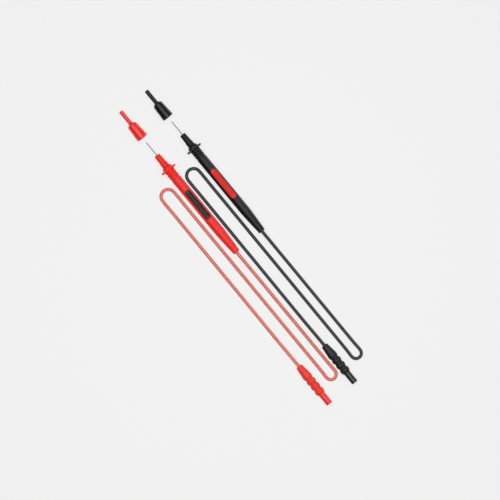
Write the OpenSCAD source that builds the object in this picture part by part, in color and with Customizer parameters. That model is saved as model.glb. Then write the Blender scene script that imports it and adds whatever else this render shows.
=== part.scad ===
// A red and a black needle-point test lead, lying side by side on a flat surface.
// Each lead is a probe with a pull-off tip cap and a screw chuck, a thin cable laid
// in two hairpins, and a shrouded safety plug. Millimetres.
//
// A lead is drawn along +X from its needle's point at x = 0, with the probe's axis
// on y = 0, z = 0, and is then set down at its side of the pair.

/* [Pair] */
// Distance between the axes of the two probes
lead_pitch = 39; // [38:0.5:60]

/* [Needle] */
// Diameter of the needle
needle_d = 1; // [0.8:0.1:1.2]
// Length of the needle that stands out of the nose
needle_out = 20.5; // [15:0.5:30]
// Length of the needle's ground point
needle_point = 2; // [1:0.5:8]
// Length of the needle that the collet holds
needle_in = 12.5; // [10.5:0.5:14]

/* [Nose nut] */
// Length of the screw-on nose
nose_len = 16.7; // [16:0.1:20]
// Diameter of the nose at its front
nose_tip_d = 7; // [6.6:0.1:8]
// Diameter of the nose at its base
nose_base_d = 8.5; // [8.2:0.1:9]
// Height of the finger rings round the nose's base
nose_ring_h = 0.2; // [0.1:0.05:0.4]
// Number of finger rings round the nose's base
nose_rings = 4; // [2:1:5]
// Distance from one finger ring to the next
nose_ring_pitch = 1.3; // [1.1:0.1:1.6]
// Length of one finger ring of the nose
nose_ring_len = 0.8; // [0.5:0.1:0.9]
// Pitch of the chuck's thread
thread_pitch = 0.7; // [0.5:0.05:0.8]
// Turns that the nose is screwed off to free the needle
nose_turns = 3; // [1:1:3]

/* [Collet and contact rod] */
// Diameter of the collet's jaws
jaw_d = 4.6; // [4.4:0.1:4.8]
// Diameter of the collet's tail
collet_tail_d = 4; // [3.6:0.1:4.1]
// Length of the collet's tail
collet_tail_len = 7.8; // [6:0.2:7.8]
// Width of the two slits in the collet
collet_slit = 0.4; // [0.2:0.1:0.6]
// Outside diameter of the chuck's thread
thread_d = 5.4; // [5.2:0.1:5.6]
// Length of the threaded boss in front of the rod's flange
boss_len = 9; // [8.5:0.1:10]
// Diameter of the rod's knurled flange
rod_flange_d = 7; // [6.6:0.1:7.4]
// Length of the rod's knurled flange
rod_flange_len = 12; // [8:0.5:16]
// Diameter of the rod behind its flange
rod_d = 4.6; // [4:0.1:4.7]
// Length of the rod behind its flange
rod_len = 22; // [16:1:30]

/* [Handle] */
// Diameter of the collar in front of the finger guard
collar_d = 12.4; // [12:0.1:13.6]
// Diameter of the collar at its front, where its cone starts
collar_front_d = 9.6; // [9:0.1:11]
// Length of the collar's cone
collar_cone = 2; // [1:0.1:2.3]
// Length of the collar
collar_len = 3.95; // [2.4:0.05:5]
// Width of the finger guard
guard_w = 20; // [17:0.2:24]
// Thickness of the finger guard
guard_t = 1.9; // [1:0.1:2.5]
// Length of the ringed neck behind the guard
neck_len = 12.15; // [11:0.05:18]
// Diameter of the neck between its rings
neck_d = 11.2; // [10.4:0.1:11.6]
// Diameter of the neck's rings
neck_ring_d = 12.4; // [11.8:0.1:13]
// Number of rings on the neck
neck_rings = 3; // [1:1:3]
// Distance from the guard to the middle of the first neck ring
neck_first_ring = 1.6; // [1.5:0.1:4]
// Distance from one neck ring to the next
neck_ring_pitch = 3.7; // [3.4:0.1:4.2]
// Length of one neck ring
neck_ring_len = 3; // [2:0.1:3.3]
// Width of the eight-sided handle across its flats
body_w = 11.8; // [11.2:0.1:13]
// How far the eight corners are rounded off
corner_cut = 0.3; // [0.1:0.02:0.4]
// Length of the straight part of the handle
body_len = 81.4; // [70:0.2:100]
// Length of the tapered tail of the handle
taper_len = 30; // [22:0.5:40]
// Diameter of the handle's rear end
tail_d = 8.4; // [8.1:0.1:9]
// Diameter of the bore along the handle
handle_bore = 5.2; // [5.1:0.1:5.6]

/* [Grip pad] */
// Distance from the front of the straight handle to the pad
pad_from = 19.2; // [6:0.2:24]
// Length of the soft pad
pad_len = 43.2; // [30:0.1:56]
// Width of the soft pad
pad_w = 7; // [5:0.1:8]
// How far the pad stands proud of the handle
pad_proud = 0.4; // [0.2:0.1:0.8]
// Height of the pad's pocket floor above the handle's axis
pad_floor = 4; // [3.6:0.1:4.4]

/* [Rear bush] */
// Thickness of the bush's flange
bush_flange_t = 1.9; // [1.6:0.1:4]
// Diameter of the bush's flange
bush_flange_d = 8.5; // [8.2:0.1:9]
// Bevel round the end of the bush's flange
bush_bevel = 0.9; // [0.3:0.1:1.4]
// Diameter of the bush's spigot in the handle
bush_d = 6; // [5.4:0.1:6.4]
// Length of the bush's spigot in the handle
bush_len = 8; // [5:0.5:12]

/* [Tip cap] */
// Diameter of the cap's mouth
cap_mouth_d = 14; // [13.6:0.1:15]
// Diameter of the cap's skirt behind its shoulder
cap_neck_d = 11.8; // [11:0.1:12]
// Diameter of the cap's tube over the needle
cap_tube_d = 5; // [4.4:0.1:6]
// Bore of the cap's tube
cap_bore = 2.4; // [2:0.1:2.8]
// Wall of the cap's skirt
cap_wall = 1.2; // [1:0.05:1.25]
// Length of the cone between the tube and the skirt
cap_shoulder = 3; // [1.8:0.1:3]
// Thickness of the wall that closes the tube
cap_end_wall = 0.8; // [0.6:0.1:1.2]
// Width of the four gripping ribs inside the skirt
cap_rib = 0.8; // [0.6:0.1:1.2]
// Gap between the needle's point and the cap's mouth, with the cap off
cap_off = 6; // [3:0.1:16]

/* [Cable] */
// Diameter of the cable
cable_d = 4; // [3.2:0.1:4.2]
// Diameter of the stranded copper core
core_d = 1.9; // [1.5:0.1:2]

/* [Plug] */
// Distance from the needle's point to the plug's cable end
plug_x = 319; // [311:0.1:321]
// Diameter of the boot at its cable end
boot_end_d = 7.9; // [7:0.1:9]
// Diameter of the boot's big end and of its finger rings
boot_d = 11.5; // [11:0.1:12.4]
// Diameter of the boot between its rings
boot_neck_d = 9.4; // [9.2:0.1:10]
// Length of the boot's cone
boot_cone = 18; // [14:0.2:20]
// Number of finger rings on the boot
boot_rings = 3; // [1:1:4]
// Distance from the boot's cone to the middle of the first finger ring
boot_first_ring = 5; // [4:0.05:7]
// Distance from one finger ring to the next
boot_ring_pitch = 7.55; // [6.4:0.05:8.4]
// Length of one finger ring of the boot
boot_ring_len = 5.8; // [3.6:0.1:6]
// Length of the boot from the middle of its last finger ring to its end
boot_tail = 4; // [3.5:0.05:7]
// Diameter of the shroud where it stands out of the boot
shroud_d = 8; // [7.8:0.05:8.2]
// Length of the shroud that stands out of the boot
shroud_out = 14.8; // [12:0.1:20]
// Length of the shroud's spigot inside the boot
shroud_in = 12; // [9:0.5:14]
// Bore of the shroud round the contact pin
shroud_bore = 6.3; // [5.8:0.1:6.6]
// Thickness of the insulating web that holds the pin
web_t = 5.4; // [3:0.2:7]
// Diameter of the pin's rounded head
pin_head_d = 3.6; // [3.4:0.1:3.8]
// Diameter of the pin's shank under its spring
pin_shank_d = 2.6; // [2.2:0.1:2.8]
// How far the pin's tip lies inside the shroud's mouth
pin_recess = 1.5; // [1:0.1:3]
// Diameter of the contact spring at its waist
spring_d = 4; // [3.8:0.05:4.2]
// Length of the contact spring
spring_len = 12.5; // [10:0.5:14]
// Diameter of the pin's crimp barrel
barrel_d = 4.6; // [4:0.1:5]
// Length of the pin's crimp barrel
barrel_len = 12; // [9:0.5:14]

/* [Fits] */
// Clearance all round pieces that slide or turn in one another
running_fit = 0.05; // [0.02:0.01:0.08]
// Gap left between two faces that come to a stop
seat_gap = 0.3; // [0.2:0.05:0.4]

/* [Hidden] */
$fn = 64;

// Colours
BLACK_PLASTIC = [0.10, 0.10, 0.11];
BLACK_SOFT = [0.16, 0.15, 0.16];
RED_PLASTIC = [0.86, 0.13, 0.11];
RED_SOFT = [0.80, 0.17, 0.13];
RED_CABLE = [0.84, 0.30, 0.25];
STEEL = [0.66, 0.66, 0.68];
NICKEL = [0.78, 0.77, 0.74];
BRASS = [0.80, 0.64, 0.32];
COPPER = [0.80, 0.46, 0.30];
SHRINK = [0.20, 0.20, 0.22];

// Small bevels on hard mouldings and on soft ones, and the rounding at the boot's big end
edge = 0.4;
soft_edge = 0.5;
cone_edge = 2.5;

// How far a cutter reaches past the face that it opens
over = 1;

// How far the nose screws out
nose_travel = thread_pitch * nose_turns;

// Stations along the probe, from the needle's point
nose_x = needle_out;
collar_x = nose_x + nose_len + seat_gap;
guard_x = collar_x + collar_len;
neck_x = guard_x + guard_t;
body_x = neck_x + neck_len;
taper_x = body_x + body_len;
bush_x = taper_x + taper_len;
exit_x = bush_x + bush_flange_t;

// Chuck, from the front of the jaws to the rod's solder cup
point_d = 0.12;
needle_play = 0.2;
jaw_play = 0.1;
jaw_wall = 3;
jaw_tip_d = 2.6;
jaw_cone = 3.5;
jaw_land = 1.7;
slit_in_tail = 2;
jaw_x = nose_x + jaw_wall;
tail_x = jaw_x + jaw_cone + jaw_land;
boss_x = tail_x + seat_gap;
flange_x = boss_x + boss_len;
rod_x = flange_x + rod_flange_len;
rod_end = rod_x + rod_len;
socket_len = 8;
cup_len = 6;
cup_d = core_d + 2 * running_fit;

// Inner end of the cable in the handle
strip_len = 8;
core_grip = 4;
wire_x = rod_end + strip_len;
sleeve_wall = 0.2;
sleeve_lap = 3;
sleeve_cone = 1;
sleeve_on_wire = 6;

// Tip cap, from its closed end to its mouth
cap_room = 0.6;
cap_tip_room = 0.4;
skirt_len = nose_len + nose_travel + cap_room;
cap_len = collar_x - seat_gap + nose_travel + cap_tip_room + cap_end_wall;
cap_x = -cap_off - cap_len;
shoulder_x = -cap_off - skirt_len - cap_shoulder;
skirt_x = -cap_off - skirt_len;
cap_rib_r = nose_base_d / 2 + nose_ring_h + 2 * running_fit;

// Plug, from its cable end
plug_y = -29;
last_ring = boot_cone + boot_first_ring + (boot_rings - 1) * boot_ring_pitch;
shroud_x = last_ring + boot_tail;
plug_len = shroud_x + shroud_out;
web_x = shroud_x - shroud_in;
barrel_x = web_x - barrel_len;
boot_wire_len = 12;
pin_tip = plug_len - pin_recess;
pin_head = 2.5;
spring_x = pin_tip - pin_head - spring_len;
pin_collar = 2.5;
step = 0.4;

// Contact spring: its sheet, the bands at its ends and the slots between them
spring_wall = 0.2;
spring_play = 0.1;
spring_band = 1.2;
spring_slots = 6;
spring_slot_w = 0.5;

// Height of the probes' axes: the cap's mouth and the guard's flat both touch the surface
axis_h = cap_mouth_d / 2;
guard_h = 2 * axis_h;
plug_h = boot_d / 2;

// Middle of the probes' length, caps included, which lies over the origin
mid_x = (exit_x + cap_x) / 2;

// Route of a cable's centre line: distance from the needle's point, distance from
// the probe's axis, and height above the surface. The first and last points lie on
// the faces of the bush and the boot.
near_y = 0.6;
far_y = -11.7;
route = [
    [exit_x, 0, axis_h], [exit_x + 4, 0, axis_h], [182, 0.1, 6.6], [193, 0.3, 4.8],
    [204, 0.5, 2.8], [216, near_y, cable_d / 2], [260, near_y, cable_d / 2],
    [318, near_y, cable_d / 2], [334, near_y, cable_d / 2], [343, 0.7, cable_d / 2],
    [350.5, 0.9, cable_d / 2], [353.8, 0, cable_d / 2], [356.1, -2.3, cable_d / 2],
    [357, -5.5, cable_d / 2], [356.1, -8.8, cable_d / 2], [353.8, -11.1, cable_d / 2],
    [350.5, -12, cable_d / 2], [343, -11.8, cable_d / 2], [334, far_y, cable_d / 2],
    [318, far_y, cable_d / 2], [250, far_y, cable_d / 2], [160, far_y, cable_d / 2],
    [90, far_y, cable_d / 2], [66.4, far_y, cable_d / 2], [62.2, -12.8, cable_d / 2],
    [59.1, -15.9, cable_d / 2], [57.9, -20.2, cable_d / 2], [59.1, -24.4, cable_d / 2],
    [62.2, -27.6, cable_d / 2], [66.4, -28.7, cable_d / 2], [90, -28.7, cable_d / 2],
    [160, -28.8, cable_d / 2], [230, -28.9, cable_d / 2], [272, plug_y, cable_d / 2],
    [284, plug_y, 2.4], [295, plug_y, 3.8], [305, plug_y, 5.2], [plug_x - 4, plug_y, plug_h],
    [plug_x, plug_y, plug_h]
];
cable_sides = 8;

// A solid of revolution about the X axis, from [x, radius] points
module turned(points) {
    rotate([0, 90, 0])
        rotate_extrude()
            polygon([for (p = points) [p[1], p[0]]]);
}

// A round bar along the X axis
module bar(x0, x1, d) {
    translate([x0, 0, 0])
        rotate([0, 90, 0])
            cylinder(h = x1 - x0, d = d);
}

// A rounded ring round the X axis: an arc that rises from radius r0 to radius r1
module rounded_ring(x, width, r0, r1) {
    rise = r1 - r0;
    arc_r = (width * width / 4 + rise * rise) / (2 * rise);
    half_angle = asin(width / 2 / arc_r);
    steps = 8;
    turned(concat(
        [[x - width / 2, 0]],
        [for (i = [0 : steps])
            let (a = half_angle * (2 * i / steps - 1))
            [x + arc_r * sin(a), r1 - arc_r * (1 - cos(a))]],
        [[x + width / 2, 0]]
    ));
}

// Puts a lead's pieces at their side of the pair: 1 for the left probe, -1 for the right
module lead(side) {
    translate([-mid_x, side * lead_pitch / 2, axis_h])
        children();
}

// Puts a plug's pieces on the plug's own axis, beside the probe
module at_plug() {
    translate([plug_x, plug_y, plug_h - axis_h])
        children();
}

// ---- Probe ----

// Needle with a ground point, held by the collet
module needle() {
    turned([
        [0, 0], [0, point_d / 2], [needle_point, needle_d / 2],
        [nose_x + needle_in, needle_d / 2], [nose_x + needle_in, 0]
    ]);
}

// Split collet: its jaws close on the needle when the nose is screwed home
module collet() {
    jaw_end = jaw_x + jaw_cone;
    tail_end = tail_x + collet_tail_len;
    difference() {
        turned([
            [jaw_x, 0], [jaw_x, jaw_tip_d / 2], [jaw_end, jaw_d / 2], [tail_x, jaw_d / 2],
            [tail_x, collet_tail_d / 2], [tail_end, collet_tail_d / 2], [tail_end, 0]
        ]);
        bar(jaw_x - over, nose_x + needle_in + seat_gap, needle_d + 2 * running_fit);
        for (turn = [0, 90])
            rotate([turn, 0, 0])
                translate([jaw_x - over, -collet_slit / 2, -jaw_d])
                    cube([tail_x + slit_in_tail - jaw_x + over, collet_slit, 2 * jaw_d]);
    }
}

// Screw-on nose: a plastic chuck nut with finger rings round its base
module nose_nut() {
    nose_end = nose_x + nose_len;
    jaw_end = jaw_x + jaw_cone;
    last_x = nose_end - nose_ring_h - nose_ring_len;
    difference() {
        union() {
            turned([
                [nose_x, 0], [nose_x, nose_tip_d / 2 - edge], [nose_x + edge, nose_tip_d / 2],
                [nose_end, nose_base_d / 2], [nose_end, 0]
            ]);
            for (i = [0 : nose_rings - 1])
                let (x = last_x - i * nose_ring_pitch)
                bar(x, x + nose_ring_len, nose_base_d + 2 * nose_ring_h);
        }
        bar(nose_x - over, jaw_x, needle_d + 2 * needle_play);
        turned([
            [jaw_x - jaw_play, 0], [jaw_x - jaw_play, jaw_tip_d / 2 + jaw_play],
            [jaw_end, jaw_d / 2 + jaw_play], [boss_x - jaw_play, jaw_d / 2 + jaw_play],
            [boss_x - jaw_play, thread_d / 2 + running_fit],
            [nose_end + over, thread_d / 2 + running_fit], [nose_end + over, 0]
        ]);
    }
}

// Brass contact rod: threaded boss, knurled flange in the handle, and a solder cup
module contact_rod() {
    difference() {
        turned([
            [boss_x, 0], [boss_x, thread_d / 2], [flange_x, thread_d / 2],
            [flange_x, rod_flange_d / 2], [rod_x, rod_flange_d / 2],
            [rod_x, rod_d / 2], [rod_end, rod_d / 2], [rod_end, 0]
        ]);
        bar(boss_x - over, boss_x + socket_len, collet_tail_d + 2 * running_fit);
        bar(rod_end - cup_len, rod_end + over, cup_d);
    }
}

// The eight-sided handle and its tapered tail, before it is bored
module handle_body() {
    flat_r = body_w / 2;
    corner_r = flat_r / cos(22.5) - corner_cut;
    slope = (flat_r - tail_d / 2) / taper_len;
    intersection() {
        translate([body_x, 0, 0])
            rotate([0, 90, 0])
                rotate([0, 0, 22.5])
                    cylinder(h = bush_x - body_x, d = body_w / cos(22.5), $fn = 8);
        turned([
            [body_x, 0], [body_x, neck_d / 2], [body_x + 2 * soft_edge, corner_r],
            [taper_x - (corner_r - flat_r) / slope, corner_r], [bush_x, tail_d / 2], [bush_x, 0]
        ]);
    }
}

// Finger guard: a thin disc with a flat above and a flat below, so that it can't roll
module guard() {
    r = guard_w / 2;
    intersection() {
        turned([
            [guard_x, 0], [guard_x, r - edge], [guard_x + edge, r],
            [neck_x - edge, r], [neck_x, r - edge], [neck_x, 0]
        ]);
        translate([guard_x, -r, -guard_h / 2])
            cube([guard_t, 2 * r, guard_h]);
    }
}

// The outline of the grip pad, seen from above, as a bar of that outline
module pad_block(grow, top) {
    w = pad_w + 2 * grow;
    translate([body_x + pad_from + pad_w / 2, 0, pad_floor]) {
        cylinder(h = top - pad_floor, d = w);
        translate([pad_len - pad_w, 0, 0])
            cylinder(h = top - pad_floor, d = w);
        translate([0, -w / 2, 0])
            cube([pad_len - pad_w, w, top - pad_floor]);
    }
}

// One-piece handle: collar, finger guard, ringed neck, eight-sided body and tapered tail
module handle() {
    first_ring = neck_x + neck_first_ring;
    difference() {
        union() {
            turned([
                [collar_x, 0], [collar_x, collar_front_d / 2],
                [collar_x + collar_cone, collar_d / 2],
                [guard_x, collar_d / 2], [guard_x, 0]
            ]);
            guard();
            bar(guard_x, body_x, neck_d);
            for (i = [0 : neck_rings - 1])
                rounded_ring(first_ring + i * neck_ring_pitch, neck_ring_len,
                    neck_d / 2, neck_ring_d / 2);
            handle_body();
        }
        bar(collar_x - over, rod_x, rod_flange_d + 2 * running_fit);
        bar(rod_x - over, bush_x, handle_bore);
        bar(bush_x - bush_len - seat_gap, bush_x + over, bush_d + 2 * running_fit);
        pad_block(running_fit, body_w);
    }
}

// Soft pad in the top of the handle, crowned to the handle's curve
module grip_pad() {
    intersection() {
        pad_block(0, body_w);
        bar(body_x, taper_x, body_w + 2 * pad_proud);
    }
}

// Soft bush that closes the handle's rear end round the cable
module rear_bush() {
    difference() {
        turned([
            [bush_x - bush_len, 0], [bush_x - bush_len, bush_d / 2], [bush_x, bush_d / 2],
            [bush_x, bush_flange_d / 2], [exit_x - bush_bevel, bush_flange_d / 2],
            [exit_x, bush_flange_d / 2 - bush_bevel], [exit_x, 0]
        ]);
        bar(bush_x - bush_len - over, exit_x + over, cable_d + 2 * running_fit);
    }
}

// Shrink sleeve over the soldered joint between the rod and the cable
module joint_sleeve() {
    over_rod = rod_d / 2 + running_fit / 2;
    over_wire = cable_d / 2 + running_fit;
    lap_x = rod_end - sleeve_lap;
    cone_x0 = rod_end + sleeve_cone;
    cone_x1 = wire_x - sleeve_cone;
    end_x = wire_x + sleeve_on_wire;
    turned([
        [lap_x, over_rod], [cone_x0, over_rod], [cone_x1, over_wire], [end_x, over_wire],
        [end_x, over_wire + sleeve_wall], [cone_x1, over_wire + sleeve_wall],
        [cone_x0, over_rod + sleeve_wall], [lap_x, over_rod + sleeve_wall]
    ]);
}

// The two insulated ends of the cable: one in the handle and one in the plug's boot
module wire_ends() {
    difference() {
        bar(wire_x, exit_x, cable_d);
        bar(wire_x - over, wire_x + core_grip + seat_gap, cup_d);
    }
    at_plug() {
        difference() {
            bar(0, boot_wire_len, cable_d);
            bar(boot_wire_len - core_grip - seat_gap, boot_wire_len + over, cup_d);
        }
    }
}

// The two bared ends of the copper core: one in the solder cup and one in the crimp
module copper_core() {
    bar(rod_end - cup_len + seat_gap, wire_x + core_grip, core_d);
    at_plug()
        bar(boot_wire_len - core_grip, barrel_x + barrel_len / 2, core_d);
}

// Tip cap: a thin closed tube over the needle, and a flared skirt over the nose
module tip_cap() {
    mouth = -cap_off;
    difference() {
        turned([
            [cap_x, 0], [cap_x, cap_tube_d / 2 - edge], [cap_x + edge, cap_tube_d / 2],
            [shoulder_x, cap_tube_d / 2], [skirt_x, cap_neck_d / 2],
            [mouth, cap_mouth_d / 2], [mouth, 0]
        ]);
        difference() {
            turned([
                [skirt_x, 0], [skirt_x, cap_neck_d / 2 - cap_wall],
                [mouth, cap_mouth_d / 2 - cap_wall], [mouth + over, cap_mouth_d / 2 - cap_wall],
                [mouth + over, 0]
            ]);
            for (turn = [0, 90])
                rotate([turn, 0, 0])
                    difference() {
                        translate([skirt_x, -cap_rib / 2, -cap_mouth_d / 2])
                            cube([skirt_len - edge, cap_rib, cap_mouth_d]);
                        bar(skirt_x - over, mouth + over, 2 * cap_rib_r);
                    }
        }
        bar(cap_x + cap_end_wall, skirt_x + over, cap_bore);
    }
}

// ---- Cable ----

// Unit vector along v
function unit(v) = v / norm(v);

// Direction of the route at point i: the mean of the stretches on either side of it
function along(i) =
    i == 0 ? unit(route[1] - route[0])
    : i == len(route) - 1 ? unit(route[i] - route[i - 1])
    : unit(unit(route[i + 1] - route[i]) + unit(route[i] - route[i - 1]));

// Sideways direction at point i, level with the surface
function sideways(i) = unit(cross([0, 0, 1], along(i)));

// One ring of corners round point i, with a flat below so that the cable lies on it
function ring(i) = [
    for (k = [0 : cable_sides - 1])
        let (a = 360 * (k + 0.5) / cable_sides)
        route[i] + cable_d / 2 * (cos(a) * sideways(i) + sin(a) * cross(along(i), sideways(i)))
];

// Free stretch of the cable, laid on the surface from the handle to the plug
module cable() {
    n = cable_sides;
    last = (len(route) - 1) * n;
    translate([0, 0, -axis_h])
        polyhedron(
            points = [for (i = [0 : len(route) - 1]) each ring(i)],
            faces = concat(
                [[for (k = [n - 1 : -1 : 0]) k]],
                [for (i = [0 : len(route) - 2], k = [0 : n - 1])
                    let (a = i * n + k, b = i * n + (k + 1) % n)
                    [a, b, b + n, a + n]],
                [[for (k = [0 : n - 1]) last + k]]
            )
        );
}

// ---- Plug ----

// Soft boot: a flared cone and finger rings over the crimp and the shroud's spigot
module plug_boot() {
    first_ring = boot_cone + boot_first_ring;
    difference() {
        union() {
            turned([
                [0, 0], [0, boot_end_d / 2 - step], [step, boot_end_d / 2],
                [boot_cone - cone_edge, boot_d / 2], [boot_cone, boot_d / 2 - step],
                [boot_cone + step, boot_neck_d / 2], [shroud_x, boot_neck_d / 2], [shroud_x, 0]
            ]);
            for (i = [0 : boot_rings - 1])
                rounded_ring(first_ring + i * boot_ring_pitch, boot_ring_len,
                    boot_neck_d / 2, boot_d / 2);
        }
        bar(-over, shroud_x, cable_d + 2 * running_fit);
        bar(boot_wire_len, web_x + over, barrel_d + 2 * running_fit);
        bar(web_x, shroud_x + over, shroud_d - step + 2 * running_fit);
    }
}

// Rigid shroud round the contact pin, with a spigot in the boot and a web for the pin
module plug_shroud() {
    difference() {
        turned([
            [web_x, 0], [web_x, shroud_d / 2 - step / 2], [shroud_x, shroud_d / 2 - step / 2],
            [shroud_x, shroud_d / 2], [plug_len - step, shroud_d / 2],
            [plug_len, shroud_d / 2 - step], [plug_len, 0]
        ]);
        bar(web_x + web_t, plug_len + over, shroud_bore);
        bar(web_x - over, web_x + web_t + over, pin_shank_d + 2 * running_fit);
    }
}

// Nickel-plated pin: crimp barrel, shank through the web, collar and rounded head
module plug_pin() {
    shank_r = pin_shank_d / 2;
    head_r = pin_head_d / 2;
    head_x = pin_tip - pin_head;
    difference() {
        turned([
            [barrel_x, 0], [barrel_x, barrel_d / 2], [web_x, barrel_d / 2], [web_x, shank_r],
            [spring_x - pin_collar, shank_r], [spring_x - pin_collar, head_r],
            [spring_x, head_r], [spring_x, shank_r], [head_x, shank_r], [head_x, head_r],
            [pin_tip - head_r / 2, head_r], [pin_tip, head_r / 2], [pin_tip, 0]
        ]);
        bar(barrel_x - over, barrel_x + barrel_len / 2 + seat_gap, cup_d);
    }
}

// Lantern spring: a thin slotted sleeve that bows out between the pin's collars
module pin_spring() {
    end_r = pin_head_d / 2 - spring_play;
    bow = spring_d / 2 - end_r;
    x0 = spring_x + spring_play;
    x1 = spring_x + spring_len - spring_play;
    bow_len = x1 - x0 - 2 * spring_band;
    steps = 6;
    outer = [for (i = [0 : steps])
        let (t = i / steps)
        [x0 + spring_band + bow_len * t, end_r + bow * sin(180 * t)]];
    difference() {
        turned(concat(
            [[x0, end_r - spring_wall], [x0, end_r]], outer,
            [[x1, end_r], [x1, end_r - spring_wall]],
            [for (i = [steps : -1 : 0]) outer[i] - [0, spring_wall]]
        ));
        for (i = [0 : spring_slots / 2 - 1])
            rotate([i * 360 / spring_slots, 0, 0])
                translate([x0 + spring_band + step, -spring_slot_w / 2, -spring_d])
                    cube([bow_len - 2 * step, spring_slot_w, 2 * spring_d]);
    }
}

// ---- Black lead ----

module black_tip_cap() { lead(1) color(BLACK_PLASTIC) tip_cap(); }
module black_needle() { lead(1) color(STEEL) needle(); }
module black_collet() { lead(1) color(BRASS) collet(); }
module black_nose_nut() { lead(1) color(BLACK_PLASTIC) nose_nut(); }
module black_contact_rod() { lead(1) color(BRASS) contact_rod(); }
module black_handle() { lead(1) color(BLACK_PLASTIC) handle(); }
module black_grip_pad() { lead(1) color(RED_SOFT) grip_pad(); }
module black_rear_bush() { lead(1) color(BLACK_SOFT) rear_bush(); }
module black_joint_sleeve() { lead(1) color(SHRINK) joint_sleeve(); }
module black_wire_ends() { lead(1) color(BLACK_SOFT) wire_ends(); }
module black_copper_core() { lead(1) color(COPPER) copper_core(); }
module black_cable() { lead(1) color(BLACK_SOFT) cable(); }
module black_plug_boot() { lead(1) at_plug() color(BLACK_SOFT) plug_boot(); }
module black_plug_shroud() { lead(1) at_plug() color(BLACK_PLASTIC) plug_shroud(); }
module black_plug_pin() { lead(1) at_plug() color(NICKEL) plug_pin(); }
module black_pin_spring() { lead(1) at_plug() color(NICKEL) pin_spring(); }

// ---- Red lead ----

module red_tip_cap() { lead(-1) color(RED_PLASTIC) tip_cap(); }
module red_needle() { lead(-1) color(STEEL) needle(); }
module red_collet() { lead(-1) color(BRASS) collet(); }
module red_nose_nut() { lead(-1) color(RED_PLASTIC) nose_nut(); }
module red_contact_rod() { lead(-1) color(BRASS) contact_rod(); }
module red_handle() { lead(-1) color(RED_PLASTIC) handle(); }
module red_grip_pad() { lead(-1) color(BLACK_SOFT) grip_pad(); }
module red_rear_bush() { lead(-1) color(RED_PLASTIC) rear_bush(); }
module red_joint_sleeve() { lead(-1) color(SHRINK) joint_sleeve(); }
module red_wire_ends() { lead(-1) color(RED_CABLE) wire_ends(); }
module red_copper_core() { lead(-1) color(COPPER) copper_core(); }
module red_cable() { lead(-1) color(RED_CABLE) cable(); }
module red_plug_boot() { lead(-1) at_plug() color(RED_PLASTIC) plug_boot(); }
module red_plug_shroud() { lead(-1) at_plug() color(RED_PLASTIC) plug_shroud(); }
module red_plug_pin() { lead(-1) at_plug() color(NICKEL) plug_pin(); }
module red_pin_spring() { lead(-1) at_plug() color(NICKEL) pin_spring(); }

black_tip_cap();
black_needle();
black_collet();
black_nose_nut();
black_contact_rod();
black_handle();
black_grip_pad();
black_rear_bush();
black_joint_sleeve();
black_wire_ends();
black_copper_core();
black_cable();
black_plug_boot();
black_plug_shroud();
black_plug_pin();
black_pin_spring();
red_tip_cap();
red_needle();
red_collet();
red_nose_nut();
red_contact_rod();
red_handle();
red_grip_pad();
red_rear_bush();
red_joint_sleeve();
red_wire_ends();
red_copper_core();
red_cable();
red_plug_boot();
red_plug_shroud();
red_plug_pin();
red_pin_spring();
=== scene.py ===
import math

import bmesh
import bpy
from mathutils import Matrix, Vector


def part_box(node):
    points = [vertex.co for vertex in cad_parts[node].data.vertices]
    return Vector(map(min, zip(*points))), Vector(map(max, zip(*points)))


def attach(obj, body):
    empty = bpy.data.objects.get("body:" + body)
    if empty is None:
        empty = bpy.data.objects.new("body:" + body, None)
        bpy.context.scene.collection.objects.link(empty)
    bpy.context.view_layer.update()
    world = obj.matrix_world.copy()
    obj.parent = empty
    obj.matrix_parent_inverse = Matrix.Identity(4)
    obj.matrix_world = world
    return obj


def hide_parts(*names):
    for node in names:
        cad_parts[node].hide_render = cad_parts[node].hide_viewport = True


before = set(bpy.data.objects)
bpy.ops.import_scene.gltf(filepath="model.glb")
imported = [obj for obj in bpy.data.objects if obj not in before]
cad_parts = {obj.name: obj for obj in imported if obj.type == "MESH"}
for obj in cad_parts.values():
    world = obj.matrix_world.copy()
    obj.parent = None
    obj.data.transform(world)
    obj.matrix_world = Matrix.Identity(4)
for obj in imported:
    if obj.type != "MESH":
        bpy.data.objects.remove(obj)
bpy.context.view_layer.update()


# ---- Camera ----
# It looks down on the pair from far off, a few degrees from upright, so that every piece
# shows its true width, and it is turned so that the needles point to the upper left.
view_width = 0.590  # metres of the table across the square picture
view_middle = Vector((0.1154, -0.0057, 0.007))  # on the plane of the probes' axes
view_turn = 50.5  # degrees about the upright axis
view_tilt = 5  # degrees from upright, towards the red lead
lens = 120  # mm, long enough to show hardly any of the pieces' sides

camera_lens = bpy.data.cameras.new("camera")
camera_lens.lens = lens
camera = bpy.data.objects.new("camera", camera_lens)
leaning = Matrix.Rotation(math.radians(view_tilt), 3, "X")
backward = leaning @ Vector((0, 0, 1))
camera.location = view_middle + backward * view_width * lens / camera_lens.sensor_width
camera.rotation_euler = (leaning @ Matrix.Rotation(math.radians(view_turn), 3, "Z")).to_euler()
bpy.context.scene.collection.objects.link(camera)
bpy.context.scene.camera = camera
bpy.context.scene.view_settings.view_transform = "Standard"


# ---- Contact pin and its spring ----
# A 4 mm plug pin, turned from brass and plated with nickel, with a slotted lantern
# spring of plated bronze that grips the socket. The cable's core is crimped in its tail.
leads = ("black", "red")
nickel_colour = "#CFCAC0"
nickel_stain = "#A79F90"
stain_size = 2.5  # mm
lathe_step = 0.08  # mm a radian of the wave: lines 0.5 mm apart, drawn coarse enough to show
wave_rate = 20  # radians of the wave texture for one unit of its coordinate


def hex_colour(code):
    """An sRGB hex colour, such as #1A1A1C, as linear red, green, blue and alpha."""
    srgb = [int(code[i:i + 2], 16) / 255 for i in (1, 3, 5)]
    linear = [v / 12.92 if v <= 0.04045 else ((v + 0.055) / 1.055) ** 2.4 for v in srgb]
    return (*linear, 1)


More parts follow.
